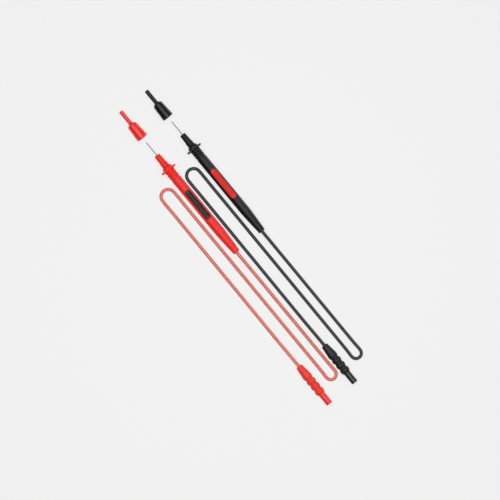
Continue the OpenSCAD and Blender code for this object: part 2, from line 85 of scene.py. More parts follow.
def add_node(tree, kind, inputs, **settings):
    """Adds a shader node. Each of its inputs is set to a value or linked to an output."""
    node = tree.nodes.new("ShaderNode" + kind)
    for name, value in settings.items():
        setattr(node, name, value)
    for name, value in inputs.items():
        if isinstance(value, bpy.types.NodeSocket):
            tree.links.new(value, node.inputs[name])
        else:
            node.inputs[name].default_value = value
    return node


def per_metre(millimetres):
    """The texture scale that repeats a pattern once in that many millimetres."""
    return 1000 / millimetres


def new_finish(name):
    """An empty material: its node tree and the surface socket of its output."""
    material = bpy.data.materials.new(name)
    material.use_nodes = True
    material.node_tree.nodes.clear()
    output = add_node(material.node_tree, "OutputMaterial", {})
    return material, material.node_tree, output.inputs["Surface"]


def turned_metal(name, colour, stain, roughness):
    """Bare or plated metal off a lathe: fine rings round the X axis, and a faint stain."""
    material, tree, surface = new_finish(name)
    place = add_node(tree, "TexCoord", {}).outputs["Object"]
    cloud = add_node(tree, "TexNoise", {"Vector": place, "Scale": per_metre(stain_size)})
    tone = add_node(tree, "MapRange", {
        "Value": cloud.outputs[0], "From Min": 0.4, "From Max": 0.75}).outputs[0]
    tint = add_node(tree, "Mix", {
        0: tone, 6: hex_colour(colour), 7: hex_colour(stain)}, data_type="RGBA")
    rough = add_node(tree, "MapRange", {
        "Value": cloud.outputs[0], "To Min": roughness - 0.06, "To Max": roughness + 0.08})
    rings = add_node(tree, "TexWave", {
        "Vector": place, "Scale": per_metre(lathe_step) / wave_rate, "Distortion": 0.3})
    bump = add_node(tree, "Bump", {
        "Height": rings.outputs[1], "Strength": 0.25, "Distance": 0.00001})
    shader = add_node(tree, "BsdfPrincipled", {
        "Base Color": tint.outputs[2], "Metallic": 1.0, "Roughness": rough.outputs[0],
        "Normal": bump.outputs[0]})
    tree.links.new(shader.outputs[0], surface)
    return material


def dress(piece, material):
    """Gives a piece that one material."""
    piece.data.materials.clear()
    piece.data.materials.append(material)


nickel = turned_metal("nickel plate, turned", nickel_colour, nickel_stain, roughness=0.2)
for lead in leads:
    dress(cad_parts[f"{lead}_plug_pin"], nickel)
    dress(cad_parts[f"{lead}_pin_spring"], nickel)


# ---- Plug shroud ----
# A rigid ABS sleeve, 8 mm outside, round the contact pin. It is injection moulded with
# a fine spark-eroded grain, and its spigot is held inside the boot.
abs_colours = {"black": "#111113", "red": "#EE261D"}
# Paler colour for the sharp edges: partly wear, partly a painted highlight along the rims.
abs_worn_and_highlit = {"black": "#2B2B2F", "red": "#F14A42"}
# How each mould is finished. The relief is the height of its grain in metres.
textured = {"roughness": 0.4, "gloss": 0.22, "relief": 0.00003}
polished = {"roughness": 0.2, "gloss": 0.45, "relief": 0.000008}
abs_grain = 0.16  # mm, the spark-eroded grain of the mould
abs_cloud = 9  # mm, the slow change of tone along the flow of the plastic
segments = 112  # corners round each piece
sharp_from = 38  # degrees; an edge that turns by more than this isn't shaded smooth
weld = 0.000001  # metres, within which two points become one
web_len = 5.4  # of the wall that holds the pin
pin_hole_r = 1.35
shroud_r = 4.0
shroud_bore_r = 3.15
spigot_r = 3.8
shroud_spigot = 12.0  # length of the spigot inside the boot


def moulded_abs(name, colour, paler_edges, roughness, gloss, relief):
    """Hard satin plastic: even colour, a fine grain, and edges a little paler, partly from wear
    and partly a painted highlight.
    """
    material, tree, surface = new_finish(name)
    place = add_node(tree, "TexCoord", {}).outputs["Object"]
    cloud = add_node(tree, "TexNoise", {"Vector": place, "Scale": per_metre(abs_cloud)})
    tone = add_node(tree, "MapRange", {
        "Value": cloud.outputs[0], "To Min": 0.86, "To Max": 1.14})
    even = add_node(tree, "HueSaturation", {
        "Color": hex_colour(colour), "Value": tone.outputs[0]})
    # Sharp edges turn paler: partly wear, partly a painted highlight.
    edge = add_node(tree, "NewGeometry", {}).outputs["Pointiness"]
    worn_and_highlit = add_node(tree, "MapRange", {
        "Value": edge, "From Min": 0.53, "From Max": 0.62, "To Max": 0.7})
    tint = add_node(tree, "Mix", {
        0: worn_and_highlit.outputs[0], 6: even.outputs[0], 7: hex_colour(paler_edges)}, data_type="RGBA")
    handled = add_node(tree, "TexNoise", {
        "Vector": place, "Scale": per_metre(abs_cloud / 3), "Detail": 4.0})
    rough = add_node(tree, "MapRange", {
        "Value": handled.outputs[0], "To Min": roughness - 0.08, "To Max": roughness + 0.08})
    grain = add_node(tree, "TexNoise", {
        "Vector": place, "Scale": per_metre(abs_grain), "Detail": 1.0})
    bump = add_node(tree, "Bump", {
        "Height": grain.outputs[0], "Strength": 0.5, "Distance": relief})
    shader = add_node(tree, "BsdfPrincipled", {
        "Base Color": tint.outputs[2], "Roughness": rough.outputs[0], "IOR": 1.54,
        "Specular IOR Level": gloss, "Normal": bump.outputs[0]})
    tree.links.new(shader.outputs[0], surface)
    return material


def filleted(corners, closed=True, steps=5):
    """An outline through (x, radius, fillet) corners, each rounded by its fillet, in mm."""
    points = []
    count = len(corners)
    for i, (x, r, fillet) in enumerate(corners):
        here = Vector((x, r))
        at_end = not closed and i in (0, count - 1)
        if fillet == 0 or at_end:
            points.append((x, r))
            continue
        back = (Vector(corners[i - 1][:2]) - here).normalized()
        ahead = (Vector(corners[(i + 1) % count][:2]) - here).normalized()
        reach = fillet / math.tan(back.angle(ahead) / 2)
        for step in range(steps + 1):
            t = step / steps
            p = here + back * reach * (1 - t) ** 2 + ahead * reach * t ** 2
            points.append((p.x, p.y))
    return points


angles = [2 * math.pi * k / segments for k in range(segments)]


def hoop(x, radii):
    """A ring of points round the X axis at x, one for each of the radii, in mm."""
    return [(x, r * math.cos(a), r * math.sin(a)) for a, r in zip(angles, radii)]


def skin(name, rings, spot, closed=True, crease=sharp_from):
    """A mesh through rings of points in mm, with its origin at spot. Closed joins the last
    ring to the first, and otherwise the first and last rings are drawn together."""
    count = len(rings[0])
    points = [Vector(p) / 1000 for ring in rings for p in ring]
    faces = []
    for i in range(len(rings) if closed else len(rings) - 1):
        a, b = i * count, (i + 1) % len(rings) * count
        for k in range(count):
            n = (k + 1) % count
            faces.append((a + k, a + n, b + n, b + k))
    mesh = bpy.data.meshes.new(name)
    mesh.from_pydata(points, [], faces)
    piece = bpy.data.objects.new(name, mesh)
    piece.location = spot
    bpy.context.scene.collection.objects.link(piece)
    smooth(mesh, crease)
    return piece


def smooth(mesh, crease=sharp_from):
    """Joins points that fall together, turns the faces outward and shades curves smooth.
    Edges sharper than crease degrees stay sharp."""
    body = bmesh.new()
    body.from_mesh(mesh)
    bmesh.ops.remove_doubles(body, verts=body.verts, dist=weld)
    bmesh.ops.recalc_face_normals(body, faces=body.faces)
    body.to_mesh(mesh)
    body.free()
    mesh.shade_smooth()
    mesh.set_sharp_from_angle(angle=math.radians(crease))


def turned(name, corners, spot):
    """A piece turned about the X axis from (x, radius, fillet) corners. A piece that is
    closed on the axis starts and ends there."""
    closed = corners[0][1] > 0
    outline = filleted(corners, closed)
    return skin(name, [hoop(x, [r] * segments) for x, r in outline], spot, closed)


def front_middle(node):
    """The middle of a node's front end, which is its end towards -X."""
    low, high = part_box(node)
    return Vector((low.x, (low.y + high.y) / 2, (low.z + high.z) / 2))


def span(node, spot):
    """Where a node starts and ends along X, in mm from the spot."""
    low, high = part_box(node)
    return (low.x - spot.x) * 1000, (high.x - spot.x) * 1000


smooth_abs = {
    lead: moulded_abs(f"{lead} ABS, polished mould", abs_colours[lead], abs_worn_and_highlit[lead],
                      **polished)
    for lead in leads}
textured_abs = {
    lead: moulded_abs(f"{lead} ABS, textured mould", abs_colours[lead], abs_worn_and_highlit[lead],
                      **textured)
    for lead in leads}
for lead in leads:
    spot = front_middle(f"{lead}_plug_boot")
    boot_end = span(f"{lead}_plug_boot", spot)[1]
    mouth = span(f"{lead}_plug_shroud", spot)[1]
    back = boot_end - shroud_spigot
    shroud = turned(f"{lead}_shroud_sleeve", [
        (back, pin_hole_r, 0.1), (back, spigot_r, 0.2), (boot_end, spigot_r, 0),
        (boot_end, shroud_r, 0.05), (mouth, shroud_r, 0.4), (mouth, shroud_bore_r, 0.25),
        (back + web_len, shroud_bore_r, 0.3), (back + web_len, pin_hole_r, 0.1)], spot)
    dress(shroud, smooth_abs[lead])
    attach(shroud, f"{lead}_lead")
    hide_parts(f"{lead}_plug_shroud")


# ---- Plug boot ----
# A soft PVC boot moulded over the crimp: a cone that the cable enters, then three bulging
# rings for the fingers. Soft vinyl is a little duller than the shroud and takes dust.
vinyl_colours = {"black": "#131315", "red": "#E83521"}
vinyl_dust = {"black": "#322F30", "red": "#EC6152"}
vinyl_grain = 0.35  # mm
vinyl_cloud = 4  # mm, the slow change of tone
boot_mouth_r = 3.95
boot_big_r = 5.75
boot_neck_r = 4.7
cone_len = 18
cone_crest = 2.5  # from the cone's widest place to its end, and the fillet there
cone_crest_drop = 0.02  # how far that place is under the rings' radius
cone_brow = 0.6  # the cone turns down this far before its end and meets the neck as far past it
cone_brow_drop = 0.25  # how far the turn is under the rings' radius
ring_middles = (23.0, 30.55, 38.1)  # from the boot's cable end
ring_len = 5.8
ring_foot = 0.35  # the fillet where a ring meets the neck
ring_steps = 14
cable_hole_r = 2.05
crimp_r = 2.35
crimp_from = 12.0  # from the boot's cable end
spigot_fit = 0.05  # gap round the shroud's spigot


def soft_vinyl(name, colour, dust):
    """Soft PVC: a dull even skin with a faint orange peel, and dust in its hollows."""
    material, tree, surface = new_finish(name)
    place = add_node(tree, "TexCoord", {}).outputs["Object"]
    hollow = add_node(tree, "NewGeometry", {}).outputs["Pointiness"]
    dusty = add_node(tree, "MapRange", {
        "Value": hollow, "From Min": 0.49, "From Max": 0.42, "To Max": 0.35})
    tint = add_node(tree, "Mix", {
        0: dusty.outputs[0], 6: hex_colour(colour), 7: hex_colour(dust)}, data_type="RGBA")
    cloud = add_node(tree, "TexNoise", {
        "Vector": place, "Scale": per_metre(vinyl_cloud), "Detail": 3.0})
    tone = add_node(tree, "MapRange", {
        "Value": cloud.outputs[0], "To Min": 0.85, "To Max": 1.15})
    even = add_node(tree, "HueSaturation", {
        "Color": tint.outputs[2], "Value": tone.outputs[0]})
    rough = add_node(tree, "MapRange", {
        "Value": cloud.outputs[0], "To Min": 0.4, "To Max": 0.6})
    peel = add_node(tree, "TexNoise", {
        "Vector": place, "Scale": per_metre(vinyl_grain), "Detail": 2.0})
    bump = add_node(tree, "Bump", {
        "Height": peel.outputs[0], "Strength": 0.3, "Distance": 0.00003})
    shader = add_node(tree, "BsdfPrincipled", {
        "Base Color": even.outputs[0], "Roughness": rough.outputs[0], "IOR": 1.53,
        "Specular IOR Level": 0.35, "Normal": bump.outputs[0]})
    tree.links.new(shader.outputs[0], surface)
    return material


def bulge(middle, length, low, high, foot, steps):
    """A ring's corners: an arc that rises from radius low to high and falls again, with a
    fillet of foot at both of its ends."""
    rise = high - low
    arc_r = (length ** 2 / 4 + rise ** 2) / (2 * rise)
    half = math.asin(length / 2 / arc_r)
    corners = []
    for i in range(steps + 1):
        a = half * (2 * i / steps - 1)
        fillet = foot if i in (0, steps) else 0
        corners.append((middle + arc_r * math.sin(a), high - arc_r * (1 - math.cos(a)), fillet))
    return corners


vinyl = {
    lead: soft_vinyl(f"{lead} PVC, soft moulded", vinyl_colours[lead], vinyl_dust[lead])
    for lead in leads}
for lead in leads:
    spot = front_middle(f"{lead}_plug_boot")
    boot_end = span(f"{lead}_plug_boot", spot)[1]
    socket_end = boot_end - shroud_spigot
    socket_r = spigot_r + spigot_fit
    rings = []
    for middle in ring_middles:
        rings += bulge(middle, ring_len, boot_neck_r, boot_big_r, ring_foot, ring_steps)
    boot = turned(f"{lead}_boot_moulding", [
        (0, cable_hole_r, 0.2), (0, boot_mouth_r, 1.3),
        (cone_len - cone_crest, boot_big_r - cone_crest_drop, cone_crest),
        (cone_len - cone_brow, boot_big_r - cone_brow_drop, 0.5),
        (cone_len + cone_brow, boot_neck_r, 0.4), *rings,
        (boot_end, boot_neck_r, 0.4), (boot_end, socket_r, 0.1),
        (socket_end, socket_r, 0), (socket_end, crimp_r, 0),
        (crimp_from, crimp_r, 0), (crimp_from, cable_hole_r, 0)], spot)
    dress(boot, vinyl[lead])
    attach(boot, f"{lead}_lead")
    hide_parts(f"{lead}_plug_boot")


# ---- Cable ----
# A limp single-core test cable, 4 mm across, with a smooth extruded PVC jacket over a
# core of fine copper strands. It leaves the handle, drops to the table and is laid in
# two long hairpins beside the handle, and ends in the plug.
jacket_colours = {"black": "#08080A", "red": "#D86455"}
jacket_bloom = {"black": "#101012", "red": "#DC6E60"}
jacket_gloss = {"black": 0.42, "red": 0.62}
jacket_cloud = 7  # mm, the slow change of the bloom
drawn_mark = 0.9  # mm, the faint unevenness that the extruder leaves
copper_colour = "#B4693F"
copper_stain = "#8C4A2A"
cable_r = 2.0
exit_x = 168.8
exit_h = 7.0
plug_x = 319
plug_h = 5.75
near_y = 0.6
far_y = -11.7
plug_y = -29
end_run = 4  # the cable runs straight this far at each end
# mm behind the needle's point, mm beside it and mm above the table
route = [
    (exit_x, 0, exit_h), (exit_x + end_run, 0, exit_h), (182, 0.1, 6.6), (193, 0.3, 4.8),
    (204, 0.5, 2.8), (216, near_y, cable_r), (260, near_y, cable_r),
    (318, near_y, cable_r), (334, near_y, cable_r), (343, 0.7, cable_r),
    (350.5, 0.9, cable_r), (353.8, 0, cable_r), (356.1, -2.3, cable_r),
    (357, -5.5, cable_r), (356.1, -8.8, cable_r), (353.8, -11.1, cable_r),
    (350.5, -12, cable_r), (343, -11.8, cable_r), (334, far_y, cable_r),
    (318, far_y, cable_r), (250, far_y, cable_r), (160, far_y, cable_r),
    (90, far_y, cable_r), (66.4, far_y, cable_r), (62.2, -12.8, cable_r),
    (59.1, -15.9, cable_r), (57.9, -20.2, cable_r), (59.1, -24.4, cable_r),
    (62.2, -27.6, cable_r), (66.4, -28.7, cable_r), (90, -28.7, cable_r),
    (160, -28.8, cable_r), (230, -28.9, cable_r), (272, plug_y, cable_r),
    (284, plug_y, 2.4), (295, plug_y, 3.8), (305, plug_y, 5.2),
    (plug_x - end_run, plug_y, plug_h), (plug_x, plug_y, plug_h)]


def cable_jacket(name, colour, bloom, gloss):
    """Smooth extruded PVC: a soft gloss, and a faint cloudy bloom on the skin."""
    material, tree, surface = new_finish(name)
    place = add_node(tree, "TexCoord", {}).outputs["Object"]
    cloud = add_node(tree, "TexNoise", {
        "Vector": place, "Scale": per_metre(jacket_cloud), "Detail": 3.0})
    hazy = add_node(tree, "MapRange", {
        "Value": cloud.outputs[0], "From Min": 0.45, "From Max": 0.8, "To Max": 0.4})
    tint = add_node(tree, "Mix", {
        0: hazy.outputs[0], 6: hex_colour(colour), 7: hex_colour(bloom)}, data_type="RGBA")
    rough = add_node(tree, "MapRange", {
        "Value": cloud.outputs[0], "To Min": 0.1, "To Max": 0.2})
    drawn = add_node(tree, "TexNoise", {
        "Vector": place, "Scale": per_metre(drawn_mark), "Detail": 2.0})
    bump = add_node(tree, "Bump", {
        "Height": drawn.outputs[0], "Strength": 0.2, "Distance": 0.00005})
    shader = add_node(tree, "BsdfPrincipled", {
        "Base Color": tint.outputs[2], "Roughness": rough.outputs[0], "IOR": 1.53,
        "Specular IOR Level": gloss, "Normal": bump.outputs[0]})
    tree.links.new(shader.outputs[0], surface)
    return material


jacket = {
    lead: cable_jacket(f"{lead} PVC, extruded", jacket_colours[lead], jacket_bloom[lead],
                       jacket_gloss[lead])
    for lead in leads}
copper = turned_metal("copper strand, bare", copper_colour, copper_stain, roughness=0.35)
for lead in leads:
    tip = front_middle(f"{lead}_needle")
    points = [Vector((tip.x + x / 1000, tip.y + y / 1000, z / 1000)) for x, y, z in route]
    line = bpy.data.curves.new(f"{lead}_cable_run", "CURVE")
    line.dimensions = "3D"
    line.resolution_u = 10
    line.bevel_depth = cable_r / 1000
    line.bevel_resolution = 7
    line.use_fill_caps = True
    spline = line.splines.new("BEZIER")
    spline.bezier_points.add(len(points) - 1)
    for i, (knot, point) in enumerate(zip(spline.bezier_points, points)):
        before = points[max(i - 1, 0)]
        after = points[min(i + 1, len(points) - 1)]
        along = after - before
        if route[i][2] == cable_r:
            along.z = 0  # it lies on the table here
        along.normalize()
        knot.handle_left_type = "FREE"
        knot.handle_right_type = "FREE"
        knot.co = point
        knot.handle_left = point - along * (point - before).length / 3
        knot.handle_right = point + along * (after - point).length / 3
    cable = bpy.data.objects.new(f"{lead}_cable_run", line)
    bpy.context.scene.collection.objects.link(cable)
    dress(cable, jacket[lead])
    dress(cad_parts[f"{lead}_wire_ends"], jacket[lead])
    dress(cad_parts[f"{lead}_copper_core"], copper)
    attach(cable, f"{lead}_lead")
    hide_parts(f"{lead}_cable")


# ---- Contact rod and collet ----
# The rod that carries the current through the handle, and the split collet that grips
# the needle, both turned from brass. A black shrink sleeve covers the soldered joint.
brass_colour = "#C9A45A"
brass_stain = "#9C7A3C"
sleeve_colour = "#232326"
sleeve_dust = "#454348"

brass = turned_metal("brass, turned", brass_colour, brass_stain, roughness=0.28)
sleeve_skin = soft_vinyl("polyolefin sleeve, shrunk", sleeve_colour, sleeve_dust)
for lead in leads:
    dress(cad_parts[f"{lead}_contact_rod"], brass)
    dress(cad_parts[f"{lead}_collet"], brass)
    dress(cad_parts[f"{lead}_joint_sleeve"], sleeve_skin)


# ---- Needle ----
# A steel needle, 1 mm across, ground to a fine point. Ground steel is a dull dark grey
# beside the plated parts, so it shows as a thin dark line.
steel_colour = "#6E6A64"
steel_stain = "#524C45"

steel = turned_metal("tool steel, ground", steel_colour, steel_stain, roughness=0.3)
for lead in leads:
    dress(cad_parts[f"{lead}_needle"], steel)


# ---- Nose nut ----
# The screw-on nose of the chuck, moulded in ABS. It tapers to the needle and has four
# fine rings round its base for the fingers. Its bore closes on the collet's jaws.
nose_len = 16.7
nose_tip_r = 3.5
nose_base_r = 4.25
nose_ring_r = 4.45
nose_ring_len = 0.8
nose_ring_pitch = 1.3
nose_rings = 4
nose_ring_end = 0.4  # from the last ring to the nose's base
seat = 0.05  # gap to the handle's collar
needle_hole_r = 0.7
# The hollow for the collet's jaws: mm behind the needle's point, and radius.
jaw_room = ((28.9, 2.75), (28.9, 2.4), (27.0, 2.4), (23.4, 1.4))

for lead in leads:
    tip = front_middle(f"{lead}_needle")
    front = span(f"{lead}_nose_nut", tip)[0]
    base = span(f"{lead}_handle", tip)[0] - seat
    rings = []
    for i in reversed(range(nose_rings)):
        x = base - nose_ring_end - nose_ring_len - i * nose_ring_pitch
        under = nose_base_r - (base - x) * (nose_base_r - nose_tip_r) / nose_len
        rings += [(x, under, 0.06), (x, nose_ring_r, 0.12),
                  (x + nose_ring_len, nose_ring_r, 0.12), (x + nose_ring_len, under, 0.06)]
    nose = turned(f"{lead}_nose_moulding", [
        (front, needle_hole_r, 0.12), (front, nose_tip_r, 0.6), *rings,
        (base, nose_base_r, 0.08), (base, jaw_room[0][1], 0.1),
        *[(x, r, 0) for x, r in jaw_room], (jaw_room[-1][0], needle_hole_r, 0)], tip)
    dress(nose, textured_abs[lead])
    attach(nose, f"{lead}_nose")
    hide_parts(f"{lead}_nose_nut")


# ---- Handle ----
# One ABS moulding: a collar, a thin finger guard with two flats, a neck with three
# rounded rings, an eight-sided grip with softened corners, and a tail on which the
# facets fade away. Its top facet has a pocket for the soft pad.
collar_r = 6.2
collar_front_r = 4.8
collar_cone = 2
collar_len = 3.95
collar_rim = 0.35  # width of the ring on the guard's front face round the collar, fillet included
guard_len = 1.9
guard_edge = 0.4  # radius of the guard's rounded rim
guard_edge_steps = 4
neck_r = 5.6
neck_rim = 0.4  # width of the flat ring on the guard's back face, round the neck
neck_ring_r = 6.2
neck_ring_middles = (1.6, 5.3, 9.0)  # behind the guard
neck_ring_len = 3
neck_ring_foot = 0.15  # the fillet where a ring meets the neck
neck_ring_steps = 10
neck_len = 12.15
flat_r = 5.9
grip_len = 81.4
grip_rise = 1.0  # over which the grip swells from the neck
grip_rise_steps = 5
grip_steps = 54
corner_r = 3.2  # of the rounded corners between the facets
tail_r = 4.2
tail_power = 1.3  # above 1, so that the tail narrows more towards its end
tail_steps = 24
tail_rim = 0.35  # width of the flat ring round the tail's end
rod_bore_r = 3.55
rod_bore_end = 50  # behind the needle's point
wire_bore_r = 2.6
bush_bore_r = 3.05
bush_bore_len = 8.3
pad_from = 19.2  # behind the start of the eight-sided grip
pad_len = 43.2
pad_w = 7.0
pad_floor = 4.0  # height of the pocket's floor over the handle's axis
pad_gap = 0.12
pocket_turn_steps = 20
pocket_spacing = 2.0


def eight_sided(inradius, corner):
    """Radii of an octagon that lies on a facet, with its corners rounded to that radius."""
    core = inradius - corner
    side = core * math.tan(math.pi / 8)
    radii = []
    for a in angles:
        off = abs((a + math.pi / 8) % (math.pi / 4) - math.pi / 8)  # from the facet's middle
        if inradius * math.tan(off) <= side:
            radii.append(inradius / math.cos(off))
        else:
            reach = core * math.cos(off) + side * math.sin(off)
            radii.append(reach + math.sqrt(reach ** 2 - core ** 2 - side ** 2 + corner ** 2))
    return radii


def guard_radii(radius, flat, inset):
    """Radii of the guard's disc, with a flat above and a flat below, drawn in by inset."""
    power = 40  # high, so that the flats end in small rounded corners
    return [((1 / radius) ** power
             + math.fabs(math.sin(a) / flat) ** power) ** (-1 / power) - inset
            for a in angles]


def plain(corners):
    """Round stations from (x, radius, fillet) corners. A station is x and its radii."""
    return [(x, [r] * segments) for x, r in filleted(corners, closed=False)]


def finger_guard(front, back, radius, flat):
    """The stations of the guard, whose rim is rounded in front and behind."""
    rim = [math.pi / 2 * i / guard_edge_steps for i in range(guard_edge_steps + 1)]
    rise = [(front + guard_edge * (1 - math.cos(a)),
             guard_radii(radius, flat, guard_edge * (1 - math.sin(a)))) for a in rim]
    fall = [(back - guard_edge * (1 - math.sin(a)),
             guard_radii(radius, flat, guard_edge * (1 - math.cos(a)))) for a in rim]
    return rise + fall


def ringed_neck(front, back):
    """The stations of the neck and its rings."""
    corners = [(front, neck_r + neck_rim, 0), (front, neck_r, 0)]
    for middle in neck_ring_middles:
        corners += bulge(front + middle, neck_ring_len, neck_r, neck_ring_r,
                         neck_ring_foot, neck_ring_steps)
    corners.append((back, neck_r, 0))
    return plain(corners)


def grip_and_tail(front, back):
    """The stations of the eight-sided grip and of the tail, where its facets fade."""
    ring = eight_sided(flat_r, corner_r)
    stations = []
    for i in range(1, grip_rise_steps + 1):
        a = math.pi / 2 * i / grip_rise_steps
        stations.append((front + grip_rise * (1 - math.cos(a)),
                         [neck_r + (r - neck_r) * math.sin(a) for r in ring]))
    for i in range(1, grip_steps + 1):
        stations.append((front + grip_rise + (grip_len - grip_rise) * i / grip_steps, ring))
    taper_x = front + grip_len
    for i in range(1, tail_steps + 1):
        t = i / tail_steps
        inradius = flat_r + (tail_r - flat_r) * t ** tail_power
        corner = corner_r + (inradius - corner_r) * t
        stations.append((taper_x + (back - taper_x) * t, eight_sided(inradius, corner)))
    return stations


def long_pad(front, distance, turn_steps, spacing):
    """Points at that distance from the middle line of a pad that starts at front, in mm:
    two straight sides, spaced evenly, and a half turn at each end."""
    x0 = front + pad_w / 2
    x1 = front + pad_len - pad_w / 2
    count = round((x1 - x0) / spacing)
    run = [x0 + (x1 - x0) * i / count for i in range(count + 1)]
    turn = [math.pi * i / turn_steps for i in range(1, turn_steps)]
    return ([(x, distance) for x in run]
            + [(x1 + distance * math.sin(a), distance * math.cos(a)) for a in turn]
            + [(x, -distance) for x in reversed(run)]
            + [(x0 - distance * math.sin(a), -distance * math.cos(a)) for a in turn])


def boolean(piece, tool, operation):
    """Cuts the tool out of a piece or joins it on, and deletes the tool."""
    step = piece.modifiers.new("cut", "BOOLEAN")
    step.object = tool
    step.operation = operation
    step.solver = "EXACT"
    scene_state = bpy.context.evaluated_depsgraph_get()
    made = bpy.data.meshes.new_from_object(piece.evaluated_get(scene_state))
    piece.modifiers.remove(step)
    piece.data = made
    smooth(made)
    bpy.data.objects.remove(tool)


pad_fronts = {}
for lead in leads:
    tip = front_middle(f"{lead}_needle")
    low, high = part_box(f"{lead}_handle")
    guard_r = (high.y - low.y) / 2 * 1000
    guard_flat = (high.z - low.z) / 2 * 1000
    collar_x, tail_x = span(f"{lead}_handle", tip)
    guard_x = collar_x + collar_len
    neck_x = guard_x + guard_len
    grip_x = neck_x + neck_len
    bush_seat = tail_x - bush_bore_len
    collar = plain([
        (collar_x, rod_bore_r, 0), (collar_x, collar_front_r, 0.35),
        (collar_x + collar_cone, collar_r, 0.6), (guard_x, collar_r, 0.3),
        (guard_x, collar_r + collar_rim, 0)])
    bores = plain([
        (tail_x, tail_r - tail_rim, 0), (tail_x, bush_bore_r, 0),
        (bush_seat, bush_bore_r, 0), (bush_seat, wire_bore_r, 0),
        (rod_bore_end, wire_bore_r, 0), (rod_bore_end, rod_bore_r, 0)])
    stations = (collar + finger_guard(guard_x, neck_x, guard_r, guard_flat)
                + ringed_neck(neck_x, grip_x) + grip_and_tail(grip_x, tail_x) + bores)
    handle = skin(f"{lead}_handle_moulding", [hoop(x, radii) for x, radii in stations], tip)

    pad_fronts[lead] = grip_x + pad_from
    edge = long_pad(pad_fronts[lead], pad_w / 2 + pad_gap, pocket_turn_steps, pocket_spacing)
    over = 2 * flat_r  # well above the facet
    pocket = skin("pocket", [
        [(x, y * share, height) for x, y in edge]
        for share, height in ((0, pad_floor), (1, pad_floor), (1, over), (0, over))],
        tip, closed=False)
    boolean(handle, pocket, "DIFFERENCE")
    dress(handle, textured_abs[lead])
    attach(handle, f"{lead}_lead")
    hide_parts(f"{lead}_handle")


# ---- Grip pad ----
# A soft rubber pad let into the handle's top facet, in the other lead's colour. It is
# crowned to the handle's curve and has fine ribs across it, inside a plain border.
other_colour = {"black": "red", "red": "black"}
rubber_colours = {"red": "#D81E17", "black": "#1E191C"}
rubber_pale = {"red": "#E0362C", "black": "#3E363C"}
rubber_roughness = {"red": 0.49, "black": 0.34}
rubber_grain = 0.18  # mm
pad_half = pad_w / 2
crown_r = 6.3  # of the pad's top, round the handle's axis
rib_pitch = 2.4
rib_count = 15
rib_samples = 12  # points along each rib
groove_depth = 0.42
groove_start = 0.15  # height of a wave along the pad, from 1 to -1, where a groove starts
groove_wall = 0.8  # how much lower on the wave its floor starts
groove_end = 0.45  # over which a groove runs out at the border
ends_fade = 0.3  # over which the grooves set in at the pad's two ends
border = 0.55
pad_edge = 0.35
pad_seat = 0.05  # gap under the pad
pad_turn_steps = 16
pad_edge_steps = 5
groove_end_steps = 4
middle_steps = 6
pad_crease = 80  # degrees, so that only the foot of the pad stays sharp


def grip_rubber(name, colour, pale, roughness):
    """Soft moulded rubber: matt, with a fine grain, and paler on its ribs from handling."""
    material, tree, surface = new_finish(name)
    place = add_node(tree, "TexCoord", {}).outputs["Object"]
    ridge = add_node(tree, "NewGeometry", {}).outputs["Pointiness"]
    paler_edges = add_node(tree, "MapRange", {
        "Value": ridge, "From Min": 0.5, "From Max": 0.58, "To Max": 0.6})
    tint = add_node(tree, "Mix", {
        0: paler_edges.outputs[0], 6: hex_colour(colour), 7: hex_colour(pale)}, data_type="RGBA")
    grain = add_node(tree, "TexNoise", {
        "Vector": place, "Scale": per_metre(rubber_grain), "Detail": 2.0})
    rough = add_node(tree, "MapRange", {
        "Value": grain.outputs[0], "To Min": roughness - 0.1, "To Max": roughness + 0.1})
    bump = add_node(tree, "Bump", {
        "Height": grain.outputs[0], "Strength": 0.5, "Distance": 0.00002})
    shader = add_node(tree, "BsdfPrincipled", {
        "Base Color": tint.outputs[2], "Roughness": rough.outputs[0], "IOR": 1.5,
        "Specular IOR Level": 0.33, "Normal": bump.outputs[0]})
    tree.links.new(shader.outputs[0], surface)
    return material


def ease(value):
    """0 below 0, 1 above 1, and a smooth step between."""
    value = min(max(value, 0), 1)
    return value * value * (3 - 2 * value)


def pad_top(x, y, distance, ribs_from):
    """Height of the pad's top, at that distance from its middle line: its crown, less the
    grooves and the rounded edge."""
    ribs_to = ribs_from + rib_count * rib_pitch
    across = ease((pad_half - border - distance) / groove_end)
    ends = ease((x - ribs_from) / ends_fade) * ease((ribs_to - x) / ends_fade)
    wave = math.cos(2 * math.pi * (x - ribs_from) / rib_pitch)
    groove = ease((groove_start - wave) / groove_wall)
    fall = max(distance - (pad_half - pad_edge), 0)
    rounding = pad_edge - math.sqrt(max(pad_edge ** 2 - fall ** 2, 0))
    return math.sqrt(crown_r ** 2 - y ** 2) - groove_depth * groove * across * ends - rounding


